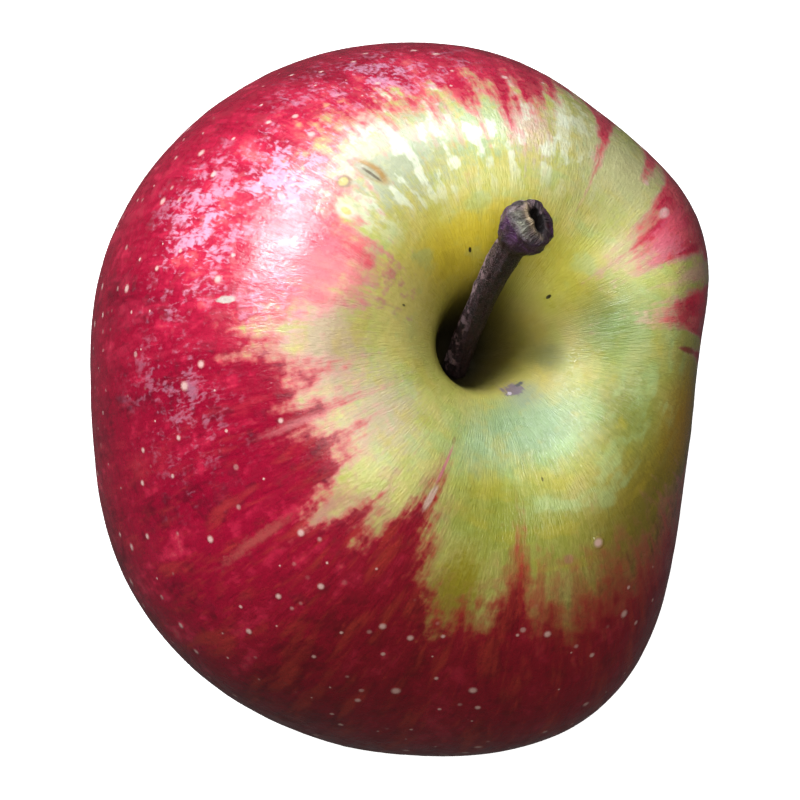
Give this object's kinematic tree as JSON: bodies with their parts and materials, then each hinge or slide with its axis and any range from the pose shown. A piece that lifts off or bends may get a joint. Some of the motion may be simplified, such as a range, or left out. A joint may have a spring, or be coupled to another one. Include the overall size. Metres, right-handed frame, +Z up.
{
  "type": "apple",
  "caption": "Whole ripe apple with a deep stem cavity, a leaning woody stem and a dried calyx, standing on the lobes of its base.",
  "frame": {"origin": "middle of the box round the apple, at the level of the surface it stands on", "axes": "+Z up along the core, from the calyx to the stem; +X towards the fruit's widest side"},
  "size_m": [0.0824, 0.074, 0.074],
  "materials": {
    "skin": "waxy fruit skin, crimson with a yellow-green zone round the stem, satin to glossy",
    "stem": "dark brown woody stalk, slightly glossy",
    "calyx": "dry brown sepals, matt"
  },
  "bodies": {
    "root": {"apple": "skin", "stem": "stem", "calyx": "calyx"}
  },
  "joints": []
}
